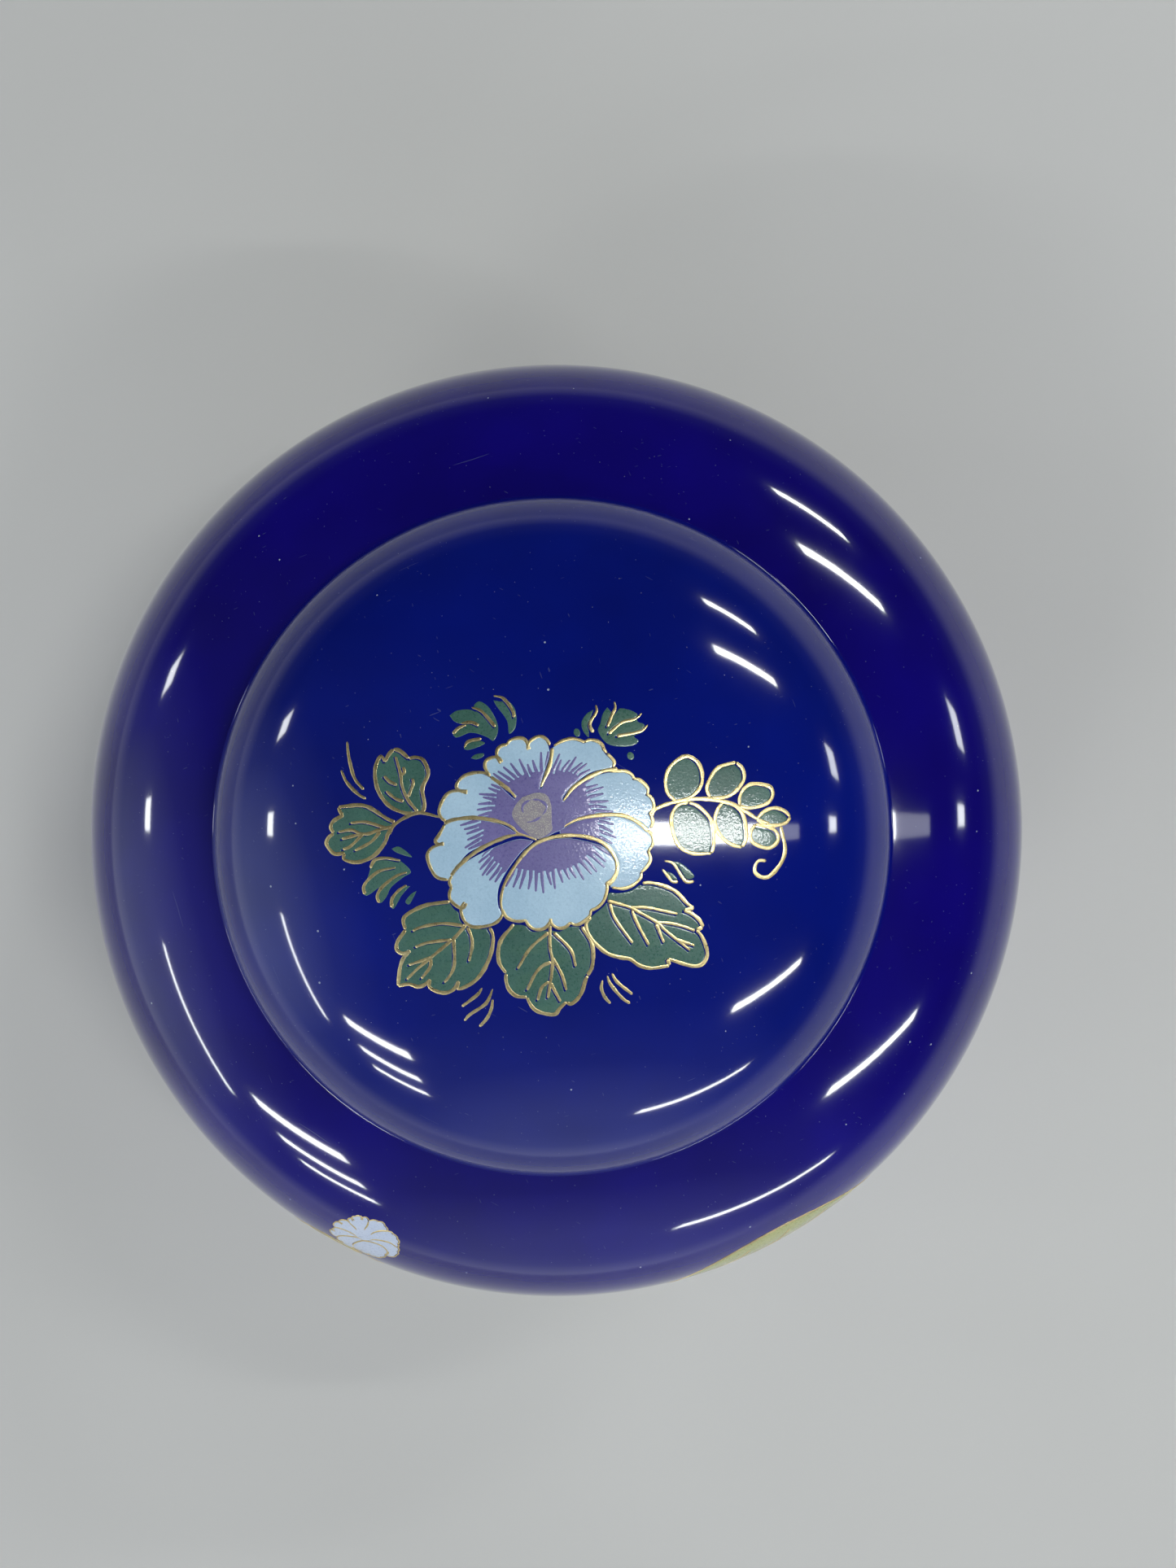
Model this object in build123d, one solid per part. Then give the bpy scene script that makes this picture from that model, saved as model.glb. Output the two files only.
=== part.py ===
"""Round porcelain trinket box: a squat bowl on a foot ring, and a domed lift-off lid with a locating flange.

Frame: +Z up, origin at the centre of the foot ring's resting face, so the box stands on Z = 0.
The bowl and the lid are both turned about Z. Sizes are millimetres.
"""

import math
import os

from build123d import *

# Driving dimensions of the bowl
BOWL_RADIUS = 50.0
BELLY_HEIGHT = 25.0
SEAT_HEIGHT = 39.5
MOUTH_RADIUS = 28.0
WALL = 3.0
FOOT_RADIUS = 31.0
FOOT_WIDTH = 3.5
FOOT_HEIGHT = 2.4
FOOT_RECESS = 1.6
FLOOR_HEIGHT = 5.0
NECK_DEPTH = 2.8

# Driving dimensions of the lid
LID_RADIUS = 32.5
LID_RISE = 13.0
RIM_ROUND = 0.9
FLANGE_CLEARANCE = 0.5
FLANGE_WALL = 3.0
FLANGE_DEPTH = 5.0
FLANGE_ROOT_HEIGHT = 42.0

# How steep the shoulder still is where it meets the seat, in degrees
SHOULDER_SLOPE = 10.0

# Small rounds on edges that the glaze softens
EDGE_ROUND = 0.6


def turned(outline):
    """A solid of revolution from a closed outline drawn in the XZ half plane."""
    return revolve(make_face(outline), Axis.Z)


def shoulder(radius, height, top_radius, top_height):
    """The curve from the widest point up and in to the top edge, as (radius, height) control points."""
    lift = 0.62 * (top_height - height)
    reach = 0.57 * (radius - top_radius)
    slope = math.radians(SHOULDER_SLOPE)
    before_top = (top_radius + reach * math.cos(slope), 0, top_height - reach * math.sin(slope))
    return Bezier((radius, 0, height), (radius, 0, height + lift), before_top, (top_radius, 0, top_height))


def belly(radius, height, low_radius, low_height):
    """The curve from the widest point down and in to the base, as (radius, height) control points."""
    drop = 0.62 * (height - low_height)
    reach = 0.5 * (radius - low_radius)
    return Bezier(
        (radius, 0, height), (radius, 0, height - drop), (low_radius + reach, 0, low_height), (low_radius, 0, low_height)
    )


def dome(radius, rim_height, apex_height):
    """The curve from the lid's rim, where it is upright, to the flat apex on the axis."""
    upright = 0.56 * (apex_height - rim_height)
    level = 0.6 * radius
    return Bezier((radius, 0, rim_height), (radius, 0, rim_height + upright), (level, 0, apex_height), (0, 0, apex_height))


def bowl():
    """The body of the box: foot ring, belly, shoulder, flat seat for the lid and a short neck."""
    foot_inner = FOOT_RADIUS - FOOT_WIDTH
    neck_base = SEAT_HEIGHT - NECK_DEPTH
    outside = [
        Line((foot_inner, 0, 0), (FOOT_RADIUS, 0, 0)),
        Line((FOOT_RADIUS, 0, 0), (FOOT_RADIUS, 0, FOOT_HEIGHT)),
        belly(BOWL_RADIUS, BELLY_HEIGHT, FOOT_RADIUS, FOOT_HEIGHT),
        shoulder(BOWL_RADIUS, BELLY_HEIGHT, LID_RADIUS, SEAT_HEIGHT),
        Line((LID_RADIUS, 0, SEAT_HEIGHT), (MOUTH_RADIUS, 0, SEAT_HEIGHT)),
    ]
    inside = [
        Line((MOUTH_RADIUS, 0, SEAT_HEIGHT), (MOUTH_RADIUS, 0, neck_base)),
        shoulder(BOWL_RADIUS - WALL, BELLY_HEIGHT, MOUTH_RADIUS, neck_base),
        belly(BOWL_RADIUS - WALL, BELLY_HEIGHT, FOOT_RADIUS - WALL, FLOOR_HEIGHT),
        Line((FOOT_RADIUS - WALL, 0, FLOOR_HEIGHT), (0, 0, FLOOR_HEIGHT)),
    ]
    underside = [
        Line((0, 0, FLOOR_HEIGHT), (0, 0, FOOT_RECESS)),
        Line((0, 0, FOOT_RECESS), (foot_inner, 0, FOOT_RECESS)),
        Line((foot_inner, 0, FOOT_RECESS), (foot_inner, 0, 0)),
    ]
    body = turned(outside + inside + underside)
    rests = body.edges().filter_by(GeomType.CIRCLE).group_by(Axis.Z)
    body = fillet(rests[0], EDGE_ROUND)
    mouth = [e for e in body.edges().filter_by(GeomType.CIRCLE).group_by(Axis.Z)[-1] if e.radius < LID_RADIUS - 1]
    body = fillet(mouth, EDGE_ROUND)
    body.label = "bowl"
    return body


def lid():
    """The domed lid: its rim covers the seat, and its flange drops into the mouth."""
    rim_height = SEAT_HEIGHT + RIM_ROUND
    apex = SEAT_HEIGHT + LID_RISE
    flange_outer = MOUTH_RADIUS - FLANGE_CLEARANCE
    flange_inner = flange_outer - FLANGE_WALL
    flange_base = SEAT_HEIGHT - FLANGE_DEPTH
    rim_inner = LID_RADIUS - RIM_ROUND
    halfway = RIM_ROUND * math.sqrt(0.5)
    rim_middle = (rim_inner + halfway, 0, rim_height - halfway)
    cap = turned(
        [
            dome(LID_RADIUS, rim_height, apex),
            ThreePointArc((rim_inner, 0, SEAT_HEIGHT), rim_middle, (LID_RADIUS, 0, rim_height)),
            Line((rim_inner, 0, SEAT_HEIGHT), (flange_outer, 0, SEAT_HEIGHT)),
            Line((flange_outer, 0, SEAT_HEIGHT), (flange_outer, 0, flange_base)),
            Line((flange_outer, 0, flange_base), (flange_inner, 0, flange_base)),
            Line((flange_inner, 0, flange_base), (flange_inner, 0, FLANGE_ROOT_HEIGHT)),
            dome(flange_inner, FLANGE_ROOT_HEIGHT, apex - WALL),
            Line((0, 0, apex - WALL), (0, 0, apex)),
        ]
    )
    flange_edges = cap.edges().filter_by(GeomType.CIRCLE).group_by(Axis.Z)[0]
    cap = fillet(flange_edges, EDGE_ROUND)
    cap.label = "lid"
    return cap


def main():
    os.makedirs("parts", exist_ok=True)
    for piece in (bowl(), lid()):
        export_step(piece, f"parts/{piece.label}.step")


main()
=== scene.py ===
"""Looks for the round porcelain trinket box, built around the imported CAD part.

The bowl and the lid are turned again as fine meshes: a white porcelain body under a separate coat of
cobalt glaze, with a bare foot ring. The flower spray is fired on the glaze: raised enamel with dark gaps
between its areas, and gilded lines a little beside those gaps. Outlines are millimetres in plan.
"""

import math
import random

import bmesh
import bpy
import numpy as np
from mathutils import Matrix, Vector
from mathutils.geometry import delaunay_2d_cdt


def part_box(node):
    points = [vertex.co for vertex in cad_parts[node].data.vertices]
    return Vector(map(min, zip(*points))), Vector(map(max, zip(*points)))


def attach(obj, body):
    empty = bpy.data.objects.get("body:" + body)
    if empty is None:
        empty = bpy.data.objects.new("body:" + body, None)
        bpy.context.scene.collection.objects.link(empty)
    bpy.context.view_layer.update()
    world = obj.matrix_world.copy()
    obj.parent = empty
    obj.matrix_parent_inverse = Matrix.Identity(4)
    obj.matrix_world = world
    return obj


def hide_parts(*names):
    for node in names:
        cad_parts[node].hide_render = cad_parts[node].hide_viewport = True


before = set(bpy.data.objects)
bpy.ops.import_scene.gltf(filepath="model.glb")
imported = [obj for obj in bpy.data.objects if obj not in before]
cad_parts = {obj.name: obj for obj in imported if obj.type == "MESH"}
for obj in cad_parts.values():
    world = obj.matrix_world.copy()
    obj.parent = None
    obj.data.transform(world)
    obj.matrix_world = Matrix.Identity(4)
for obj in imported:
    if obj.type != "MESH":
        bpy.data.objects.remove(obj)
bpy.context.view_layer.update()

MM = 0.001
bowl_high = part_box("bowl")[1]
lid_low, lid_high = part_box("lid")

# Sizes that follow the CAD part, in millimetres
BOWL_RADIUS = bowl_high[0] / MM
SEAT_HEIGHT = bowl_high[2] / MM
LID_RADIUS = lid_high[0] / MM
APEX = lid_high[2] / MM
FLANGE_BASE = lid_low[2] / MM
BELLY_HEIGHT = 25.0
MOUTH_RADIUS = 28.0
WALL = 3.0
FOOT_RADIUS = 31.0
FOOT_WIDTH = 3.5
FOOT_HEIGHT = 2.4
FOOT_RECESS = 1.6
FLOOR_HEIGHT = 5.0
NECK_DEPTH = 2.8
RIM_ROUND = 0.9
FLANGE_CLEARANCE = 0.5
FLANGE_ROOT_HEIGHT = 42.0
SHOULDER_SLOPE = math.radians(10)

# Small rounds and where the glaze ends, in millimetres
EDGE_ROUND = 0.6
COVE_ROUND = 0.45
RECESS_ROUND = 0.4
ROOT_ROUND = 0.3
BARE_INSIDE = 1.1
BARE_OUTSIDE = 0.9
GLAZE_UNDER_LID = 1.6
GLAZE_UNDER_RIM = 0.8

# The glaze's depth, the stretch over which it thins out at an end, and half the floor's width, in millimetres
COAT_DEPTH = 0.25
COAT_FEATHER = 1.2
HALF_FLOOR = 2500.0

# How far each part of the decoration stands above the glaze, and how far all of it reaches in
ENAMEL = 0.018
HEART = 0.03
CENTRE = 0.038
SWIRL_TOP = 0.044
GOLD = 0.038
SUNK = 0.04

# Widths of the gilded lines: leaf edges, stems, petal edges, lines between petals, veins and loose accents.
# Then the width of the purple swirl on the centre, and the share of those widths that a bud's lines have.
LINE = 0.34
STEM = 0.374
BORDER = 0.29
DIVIDER = 0.348
VEIN = 0.27
ACCENT = 0.297
SWIRL = 0.28
BUD_SHARE = 0.6

# Dark gaps beside those lines, how far the gold has slipped from them, and how far in a petal's line lies
GAP = 0.22
VEIN_GAP = 0.176
BRUSHED_GAP = 0.154
SLIP = np.array((0.13, 0.10))
BORDER_INSET = 0.12

# How much a line's width wanders, as a share of it
WANDER = 0.14
SWIRL_WANDER = 0.3

# Pads of enamel: their rounded edges, the rows of points that carry those as shares of the edge, how close
# to an outline such a row and the points inside may come, also as shares, and how far petals overlap
EDGE = 0.11
FINE_EDGE = 0.06
EDGE_ROWS = (-0.3, -1.0, 0.3, 1.0)
ROW_ROOM = 0.25
FILL_ROOM = 1.4
PETAL_OVERLAP = 0.06
HEART_OVERLAP = 0.04

# The purple's size as a share of its drawn outline, and the brush strokes and notches that end it
PURPLE_REACH = 0.93
TOOTH_REACH = (0.65, 1.3)
TOOTH_SLANT = 0.12
TOOTH_SHIFT = 0.14
TOOTH_FOOT = 0.17
TOOTH_TIP = 0.1
TIP_FLAT = 0.04
TIP_ROUND = 0.08
NOTCH_DEPTH = (0.1, 0.6)
NOTCH_HALF = 0.05

# Points round a turned ring, and the spacing of points along a drawn line and inside a pad
TURNS = 288
STEP = 0.1
GRID = 0.45
GRID_WAVE = 0.13
SEED = 11


# ---- turned shapes

def bezier(p0, p1, p2, p3, count):
    t = np.linspace(0, 1, count)[:, None]
    p0, p1, p2, p3 = (np.array(p, float) for p in (p0, p1, p2, p3))
    return (1 - t) ** 3 * p0 + 3 * (1 - t) ** 2 * t * p1 + 3 * (1 - t) * t ** 2 * p2 + t ** 3 * p3


def arc(centre, radius, start, end, count=9):
    """Points on a circle, from one angle to another in degrees."""
    angles = np.radians(np.linspace(start, end, count))
    return np.stack([centre[0] + radius * np.cos(angles), centre[1] + radius * np.sin(angles)], 1)


def straight(start, end, count):
    return np.linspace(start, end, count)


def shoulder(radius, height, top_radius, top_height):
    lift = 0.62 * (top_height - height)
    reach = 0.57 * (radius - top_radius)
    top = np.array((top_radius, top_height))
    before_top = top + reach * np.array((math.cos(SHOULDER_SLOPE), -math.sin(SHOULDER_SLOPE)))
    return bezier((radius, height), (radius, height + lift), before_top, top, 60)


def belly(radius, height, low_radius, low_height):
    drop = 0.62 * (height - low_height)
    reach = 0.5 * (radius - low_radius)
    low = (low_radius, low_height)
    return bezier((radius, height), (radius, height - drop), (low_radius + reach, low_height), low, 60)


def dome(radius, rim_height, apex_height):
    upright = 0.56 * (apex_height - rim_height)
    level = 0.6 * radius
    apex = (0, apex_height)
    return bezier((radius, rim_height), (radius, rim_height + upright), (level, apex_height), apex, 90)


def chain(*runs):
    """Joins runs of points end to end, dropping a point that repeats the one before."""
    points = np.concatenate(runs)
    keep = np.ones(len(points), bool)
    keep[1:] = np.linalg.norm(np.diff(points, axis=0), axis=1) > 1e-4
    return points[keep]


def path_length(points):
    return np.concatenate([[0], np.cumsum(np.linalg.norm(np.diff(points, axis=0), axis=1))])


def inward(points):
    """Unit normals to the left of the way an outline runs, which is where the solid lies."""
    along = np.gradient(points, axis=0)
    along /= np.linalg.norm(along, axis=1)[:, None]
    return np.stack([-along[:, 1], along[:, 0]], 1)


def rounded(share):
    """Rises from 0 to 1 like a quarter of a circle."""
    return np.sqrt(1 - (1 - np.clip(share, 0, 1)) ** 2)


def sunk_by(points, depth):
    """An outline moved inward by a depth that fades to nothing at each end that is off the axis."""
    s = path_length(points)
    room = s if points[-1][0] < 1e-6 else np.minimum(s, s[-1] - s)
    fade = rounded(room / COAT_FEATHER)
    return points + inward(points) * (depth * fade)[:, None]


def new_object(name, verts, faces):
    mesh = bpy.data.meshes.new(name)
    mesh.from_pydata((np.asarray(verts) * MM).tolist(), [], faces)
    mesh.validate()
    mesh.polygons.foreach_set("use_smooth", [True] * len(mesh.polygons))
    mesh.update()
    piece = bpy.data.objects.new(name, mesh)
    bpy.context.scene.collection.objects.link(piece)
    return piece


def between(rings, count, closed=False):
    """Faces between neighbouring rings of that many points, each ring joined to itself."""
    faces = []
    for i in range(rings if closed else rings - 1):
        a, b = i * count, (i + 1) % rings * count
        for j in range(count):
            k = (j + 1) % count
            faces.append((a + j, a + k, b + k, b + j))
    return faces


def lathe(name, outline, closed):
    """Turns an outline of (radius, height) about Z. An open outline starts and ends on the axis."""
    angles = np.linspace(0, 2 * math.pi, TURNS, endpoint=False)
    rings = outline if closed else outline[1:-1]
    x, y = np.outer(rings[:, 0], np.cos(angles)), np.outer(rings[:, 0], np.sin(angles))
    verts = np.stack([x, y, np.repeat(rings[:, 1:], TURNS, 1)], 2).reshape(-1, 3)
    faces = between(len(rings), TURNS, closed)
    if not closed:
        first, last = len(verts), len(verts) + 1
        verts = np.vstack([verts, [0, 0, outline[0][1]], [0, 0, outline[-1][1]]])
        base = first - TURNS
        for j in range(TURNS):
            k = (j + 1) % TURNS
            faces.append((first, k, j))
            faces.append((base + j, base + k, last))
    return new_object(name, verts, faces)


def face_outward(piece):
    """Turns every face of a closed piece to look outward."""
    mesh = bmesh.new()
    mesh.from_mesh(piece.data)
    bmesh.ops.recalc_face_normals(mesh, faces=mesh.faces)
    mesh.to_mesh(piece.data)
    mesh.free()


# ---- materials

class Nodes:
    """A short way to write the nodes round the one shader of a material or of the world."""

    def __init__(self, owner, shader="Principled BSDF", place="Object"):
        owner.use_nodes = True
        self.owner = owner
        self.tree = owner.node_tree
        self.shader = self.tree.nodes[shader]
        self.place = self.tree.nodes.new("ShaderNodeTexCoord").outputs[place]

    def add(self, kind, inputs=(), **settings):
        node = self.tree.nodes.new("ShaderNode" + kind)
        for key, value in settings.items():
            setattr(node, key, value)
        for key, value in dict(inputs).items():
            self.give(node.inputs[key], value)
        return node

    def give(self, socket, value):
        if isinstance(value, bpy.types.NodeSocket):
            self.tree.links.new(value, socket)
        else:
            socket.default_value = (*value, 1) if socket.type == "RGBA" else value

    def noise(self, scale, detail=2.0, roughness=0.5, place=None):
        """Soft noise from 0 to 1, with about scale waves in a metre."""
        values = {"Vector": place or self.place, "Scale": scale, "Detail": detail, "Roughness": roughness}
        return self.add("TexNoise", values).outputs["Fac"]

    def stretched(self, length, turn):
        """Places drawn out along one direction in plan, so that a noise there turns into streaks."""
        values = {"Vector": self.place, "Scale": (length, 1, 1), "Rotation": (0, 0, turn)}
        return self.add("Mapping", values, vector_type="TEXTURE").outputs["Vector"]

    def flecks(self, scale, size, above):
        """Round specks of one size in those cells of a random pattern that draw a number above a limit."""
        cells = self.add("TexVoronoi", {"Vector": self.place, "Scale": scale, "Randomness": 1.0})
        dot = self.math("LESS_THAN", cells.outputs["Distance"], size)
        pick = self.add("SeparateColor", {"Color": cells.outputs["Color"]}).outputs[0]
        return self.math("MULTIPLY", dot, self.math("GREATER_THAN", pick, above))

    def ramp(self, value, *stops):
        node = self.add("ValToRGB", {"Fac": value})
        elements = node.color_ramp.elements
        while len(elements) < len(stops):
            elements.new(0.5)
        for element, (position, colour) in zip(elements, stops):
            element.position = position
            element.color = (*colour, 1) if isinstance(colour, tuple) else (colour, colour, colour, 1)
        return node.outputs["Color"]

    def mix(self, amount, first, second, blend_type="MIX"):
        node = self.add("Mix", data_type="RGBA", blend_type=blend_type)
        self.give(node.inputs[0], amount)
        self.give(node.inputs[6], first)
        self.give(node.inputs[7], second)
        return node.outputs[2]

    def math(self, operation, first, second=0.0):
        node = self.add("Math", operation=operation)
        self.give(node.inputs[0], first)
        self.give(node.inputs[1], second)
        return node.outputs[0]

    def halves(self, first, second):
        return self.math("ADD", self.math("MULTIPLY", first, 0.5), self.math("MULTIPLY", second, 0.5))

    def bump(self, height, distance, under=None):
        """Relief of that many millimetres, on top of another relief if there is one."""
        values = {"Height": height, "Distance": distance * MM, "Strength": 1.0}
        if under is not None:
            values["Normal"] = under
        return self.add("Bump", values).outputs["Normal"]

    def set(self, **values):
        for key, value in values.items():
            self.give(self.shader.inputs[key.replace("_", " ")], value)
        return self.owner


def new_material(name):
    return Nodes(bpy.data.materials.new(name))


def glaze(name, deep, light, thin):
    """Thick cobalt glaze that pools darker and lighter, with dust, hairline scratches and a soft ripple."""
    n = new_material(name)
    colour = n.ramp(n.noise(55, 3, 0.6), (0.3, deep), (0.75, light))
    fine_dust = n.math("MULTIPLY", n.flecks(1300.0, 0.05, 0.45), 0.5)
    dust = n.math("ADD", n.flecks(450.0, 0.045, 0.75), fine_dust)
    hairs = 0.0
    # Each turn is a direction in which some hairline scratches run
    for turn in (0.35, 1.9, 2.6):
        scored = n.noise(6500, 0, 0.5, n.stretched(60, turn))
        hairs = n.math("ADD", hairs, n.math("GREATER_THAN", scored, 0.865))
    # Where the coat is thin it is paler, and chipped in places
    edge = n.add("Attribute", attribute_name="thin").outputs["Fac"]
    colour = n.mix(edge, colour, thin)
    patches = n.math("GREATER_THAN", n.noise(520, 3, 0.7), 0.66)
    chips = n.math("MULTIPLY", patches, n.math("GREATER_THAN", edge, 0.3))
    colour = n.mix(chips, colour, (0.7, 0.7, 0.7))
    for marks, strength in ((dust, 0.6), (hairs, 0.07)):
        colour = n.mix(n.math("MULTIPLY", marks, strength), colour, (0.5, 0.56, 0.7))
    ripple = n.bump(n.noise(70, 1.5, 0.45), 0.03)
    skin = n.bump(n.noise(900, 2, 0.5), 0.0006, under=ripple)
    wear = n.ramp(n.noise(160, 4, 0.65), (0.35, 0.10), (0.8, 0.18))
    n.set(Base_Color=colour, Roughness=wear, Normal=skin, IOR=1.5, Specular_IOR_Level=0.07)
    return n.set(Coat_Weight=1.0, Coat_Roughness=0.05, Coat_Normal=skin, Coat_IOR=1.52)


def porcelain(name, colour, shade, roughness, bumpiness):
    """White porcelain, glazed or bare: a faint warm mottle, a few specks and a fine skin."""
    n = new_material(name)
    base = n.ramp(n.noise(45, 3, 0.6), (0.3, shade), (0.7, colour))
    specks = n.math("GREATER_THAN", n.noise(1400, 1), 0.78)
    base = n.mix(n.math("MULTIPLY", specks, 0.35), base, (0.3, 0.25, 0.2))
    rough = n.ramp(n.noise(300, 3), (0.3, roughness), (0.7, roughness * 1.5))
    skin = n.bump(n.noise(1100, 3, 0.6), bumpiness)
    return n.set(Base_Color=base, Roughness=rough, Normal=skin, IOR=1.5)


def enamel_look(name, dark, light, streak=None):
    """Fired-on enamel: dense fine grain that sparkles in a light, under a thin glassy skin."""
    n = new_material(name)
    grain = n.noise(5200, 2.5, 0.7)
    clouds = n.noise(240, 2, 0.5)
    base = n.ramp(n.halves(grain, clouds), (0.36, dark), (0.62, light))
    if streak:
        lines = n.noise(900, 1, 0.5, n.stretched(4, 0.3))
        base = n.mix(n.ramp(lines, (0.5, 0.0), (0.75, 0.3)), base, streak)
    rough = n.ramp(n.noise(4000, 2, 0.6), (0.3, 0.2), (0.7, 0.5))
    skin = n.bump(n.noise(4400, 2, 0.6), 0.014)
    n.set(Base_Color=base, Roughness=rough, Normal=skin, IOR=1.52)
    return n.set(Coat_Weight=0.9, Coat_Roughness=0.06, Coat_Normal=skin)


def gilding(name):
    """Brushed-on gold: bright where it is thick, brown where it is thin, with a grainy skin."""
    n = new_material(name)
    thickness = n.halves(n.noise(350, 2), n.noise(6500, 2, 0.7))
    base = n.ramp(thickness, (0.3, (0.46, 0.35, 0.16)), (0.5, (0.70, 0.56, 0.27)), (0.75, (0.86, 0.74, 0.42)))
    rough = n.ramp(n.noise(2500, 2), (0.3, 0.27), (0.7, 0.44))
    skin = n.bump(n.noise(4500, 2, 0.6), 0.008)
    return n.set(Base_Color=base, Metallic=0.95, Roughness=rough, Normal=skin)


def stippled(name):
    """The flower's centre: taupe enamel crowded with small gold dots."""
    n = new_material(name)
    dots = n.add("TexVoronoi", {"Vector": n.place, "Scale": 7600.0, "Randomness": 0.9}).outputs["Distance"]
    base = n.ramp(dots, (0.18, (0.48, 0.46, 0.38)), (0.5, (0.27, 0.24, 0.28)))
    base = n.mix(n.ramp(n.noise(900, 2), (0.35, 0.0), (0.7, 0.5)), base, (0.36, 0.34, 0.33))
    skin = n.bump(n.math("SUBTRACT", 1.0, dots), 0.02)
    return n.set(Base_Color=base, Roughness=0.42, Normal=skin, Metallic=0.15)


def floor_look(name):
    """A pale matt floor that fades into the pale surroundings far from the object."""
    n = new_material(name)
    base = n.ramp(n.noise(6, 3, 0.6), (0.3, (0.60, 0.59, 0.57)), (0.7, (0.66, 0.65, 0.63)))
    far = n.add("VectorMath", {"Vector": n.place}, operation="LENGTH").outputs["Value"]
    opaque = n.ramp(n.math("DIVIDE", far, HALF_FLOOR * MM), (0.15, 1.0), (0.75, 0.0))
    return n.set(Base_Color=base, Roughness=0.6, Normal=n.bump(n.noise(350, 3), 0.02), Alpha=opaque)


LID_GLAZE = glaze("lid_cobalt_glaze", (0.0006, 0.0055, 0.150), (0.0010, 0.0080, 0.215), (0.02, 0.035, 0.15))
BOWL_GLAZE = glaze("bowl_cobalt_glaze", (0.0036, 0.0006, 0.130), (0.0052, 0.0010, 0.205), (0.03, 0.03, 0.15))
WHITE = porcelain("white_glaze", (0.82, 0.83, 0.82), (0.76, 0.78, 0.79), 0.08, 0.002)
BARE = porcelain("bare_porcelain", (0.74, 0.72, 0.68), (0.66, 0.63, 0.58), 0.5, 0.01)
PETAL = enamel_look("petal_enamel", (0.39, 0.575, 0.73), (0.485, 0.68, 0.83))
PURPLE = enamel_look("heart_enamel", (0.135, 0.115, 0.31), (0.19, 0.165, 0.40))
GREEN = enamel_look("leaf_enamel", (0.034, 0.108, 0.082), (0.062, 0.160, 0.125), (0.075, 0.18, 0.09))
SPRING = enamel_look("spring_leaf_enamel", (0.33, 0.37, 0.10), (0.45, 0.47, 0.15), (0.55, 0.54, 0.20))
PALE_PETAL = enamel_look("pale_petal_enamel", (0.52, 0.60, 0.76), (0.62, 0.69, 0.84))
GOLDEN = gilding("gilding")
TAUPE = stippled("stippled_centre")


# ---- the bowl and the lid

def ready(piece, material, body, slot, *nodes):
    piece.data.materials.append(material)
    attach(piece, body)
    if nodes:
        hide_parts(*nodes)
    return piece


def mark_thin(piece, weight, most):
    """Stores how thin the glaze is at each vertex, from 0 to most, by the vertex's radius and height."""
    places = np.empty(len(piece.data.vertices) * 3)
    piece.data.vertices.foreach_get("co", places)
    x, y, z = places.reshape(-1, 3).T / MM
    values = most * np.clip(weight(np.hypot(x, y), z), 0, 1)
    piece.data.attributes.new("thin", "FLOAT", "POINT").data.foreach_set("value", values.astype(np.float32))


def coat(name, outside, material, body, slot):
    """A skin of glaze over an outline, thinning to nothing where it ends."""
    under = sunk_by(outside, COAT_DEPTH)[::-1]
    if outside[-1][0] < 1e-6:
        piece = lathe(name, chain(under, outside), closed=False)
    else:
        piece = lathe(name, chain(outside, under[1:-1]), closed=True)
    face_outward(piece)
    return ready(piece, material, body, slot)


def bedded(outline):
    """Where the body runs under a coat of glaze."""
    return sunk_by(outline, 0.6 * COAT_DEPTH)


def bare_edge(inner, outer, base, outer_top, count):
    """The rounded foot of a ring, from its inner side to its outer side."""
    low = base + EDGE_ROUND
    return chain(
        straight((inner, base + BARE_INSIDE), (inner, low), 5),
        arc((inner + EDGE_ROUND, low), EDGE_ROUND, 180, 270),
        arc((outer - EDGE_ROUND, low), EDGE_ROUND, -90, 0),
        straight((outer, low), (outer, outer_top), count),
    )


neck_base = SEAT_HEIGHT - NECK_DEPTH
foot_inner = FOOT_RADIUS - FOOT_WIDTH
cove_base = FOOT_HEIGHT - COVE_ROUND
recess_edge = foot_inner - RECESS_ROUND
coat_end = LID_RADIUS - GLAZE_UNDER_LID
belly_side = chain(
    belly(BOWL_RADIUS, BELLY_HEIGHT, FOOT_RADIUS + COVE_ROUND, FOOT_HEIGHT)[::-1],
    shoulder(BOWL_RADIUS, BELLY_HEIGHT, LID_RADIUS, SEAT_HEIGHT),
)
bowl_foot = bare_edge(foot_inner, FOOT_RADIUS, 0, BARE_OUTSIDE, 4)
bowl_outside = chain(
    straight((FOOT_RADIUS, BARE_OUTSIDE), (FOOT_RADIUS, cove_base), 6),
    arc((FOOT_RADIUS + COVE_ROUND, cove_base), COVE_ROUND, 180, 90),
    belly_side,
    straight((LID_RADIUS, SEAT_HEIGHT), (coat_end, SEAT_HEIGHT), 8),
)
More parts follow.
